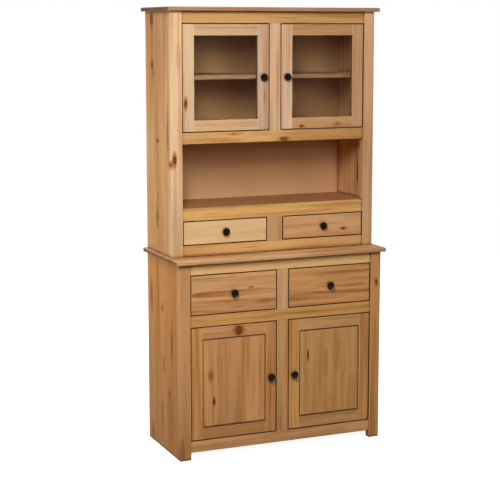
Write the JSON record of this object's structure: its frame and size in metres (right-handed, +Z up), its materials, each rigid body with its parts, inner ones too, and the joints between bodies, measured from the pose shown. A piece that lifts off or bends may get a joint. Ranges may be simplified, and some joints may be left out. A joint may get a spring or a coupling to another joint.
{
  "type": "tall cupboard",
  "caption": "Tall pine cupboard: glazed cabinet and open niche over small drawers, set back on a deeper base with drawers and fielded panel doors, with round dark knobs.",
  "frame": {"origin": "on the floor, under the middle of the overall box", "axes": "+X to the right seen from the front, the front faces -Y, +Z up"},
  "size_m": [0.93, 0.405, 1.8],
  "materials": {
    "pine": "waxed honey pine",
    "hardboard": "smooth brown board",
    "clear_glass": "clear pane",
    "dark_metal": "dark bronzed satin",
    "steel": "plain steel"
  },
  "bodies": {
    "carcass": {"base_top": "pine", "base_sides": "pine", "base_posts": "pine", "base_top_rail": "pine", "base_mid_rail": "pine", "base_bottom_rail": "pine", "base_mullions": "pine", "base_floor": "pine", "base_back": "hardboard", "upper_top": "pine", "upper_sides": "pine", "upper_posts": "pine", "upper_top_rail": "pine", "upper_door_rail": "pine", "niche_rail": "pine", "upper_bottom_rail": "pine", "upper_mullions": "pine", "cabinet_floor": "pine", "niche_board": "pine", "cabinet_shelf": "pine", "upper_back": "hardboard", "drawer_runners": "pine", "shelf_pins": "steel", "pivot_pins": "steel", "joint_dowels": "pine"},
    "left_glass_door": {"left_glass_door_stiles": "pine", "left_glass_door_rails": "pine", "left_glass_door_pane": "clear_glass", "left_glass_door_beads": "pine", "left_glass_door_knob": "dark_metal"},
    "right_glass_door": {"right_glass_door_stiles": "pine", "right_glass_door_rails": "pine", "right_glass_door_pane": "clear_glass", "right_glass_door_beads": "pine", "right_glass_door_knob": "dark_metal"},
    "left_panel_door": {"left_panel_door_stiles": "pine", "left_panel_door_rails": "pine", "left_panel_door_panel": "pine", "left_panel_door_knob": "dark_metal"},
    "right_panel_door": {"right_panel_door_stiles": "pine", "right_panel_door_rails": "pine", "right_panel_door_panel": "pine", "right_panel_door_knob": "dark_metal"},
    "left_upper_drawer": {"left_upper_drawer_front": "pine", "left_upper_drawer_box": "pine", "left_upper_drawer_bottom": "hardboard", "left_upper_drawer_knob": "dark_metal"},
    "right_upper_drawer": {"right_upper_drawer_front": "pine", "right_upper_drawer_box": "pine", "right_upper_drawer_bottom": "hardboard", "right_upper_drawer_knob": "dark_metal"},
    "left_base_drawer": {"left_base_drawer_front": "pine", "left_base_drawer_box": "pine", "left_base_drawer_bottom": "hardboard", "left_base_drawer_knob": "dark_metal"},
    "right_base_drawer": {"right_base_drawer_front": "pine", "right_base_drawer_box": "pine", "right_base_drawer_bottom": "hardboard", "right_base_drawer_knob": "dark_metal"}
  },
  "joints": [
    {"name": "left_glass_door_swing", "type": "hinge", "parent": "carcass", "child": "left_glass_door", "pos_m": [-0.389, -0.0925, 1.5225], "axis": [0, 0, -1], "range_deg": [0, 100]},
    {"name": "right_glass_door_swing", "type": "hinge", "parent": "carcass", "child": "right_glass_door", "pos_m": [0.389, -0.0925, 1.5225], "axis": [0, 0, 1], "range_deg": [0, 100]},
    {"name": "left_panel_door_swing", "type": "hinge", "parent": "carcass", "child": "left_panel_door", "pos_m": [-0.389, -0.1725, 0.308], "axis": [0, 0, -1], "range_deg": [0, 100]},
    {"name": "right_panel_door_swing", "type": "hinge", "parent": "carcass", "child": "right_panel_door", "pos_m": [0.389, -0.1725, 0.308], "axis": [0, 0, 1], "range_deg": [0, 100]},
    {"name": "left_upper_drawer_slide", "type": "slide", "parent": "carcass", "child": "left_upper_drawer", "axis": [0, -1, 0], "range_m": [0, 0.18]},
    {"name": "right_upper_drawer_slide", "type": "slide", "parent": "carcass", "child": "right_upper_drawer", "axis": [0, -1, 0], "range_m": [0, 0.18]},
    {"name": "left_base_drawer_slide", "type": "slide", "parent": "carcass", "child": "left_base_drawer", "axis": [0, -1, 0], "range_m": [0, 0.25]},
    {"name": "right_base_drawer_slide", "type": "slide", "parent": "carcass", "child": "right_base_drawer", "axis": [0, -1, 0], "range_m": [0, 0.25]}
  ]
}
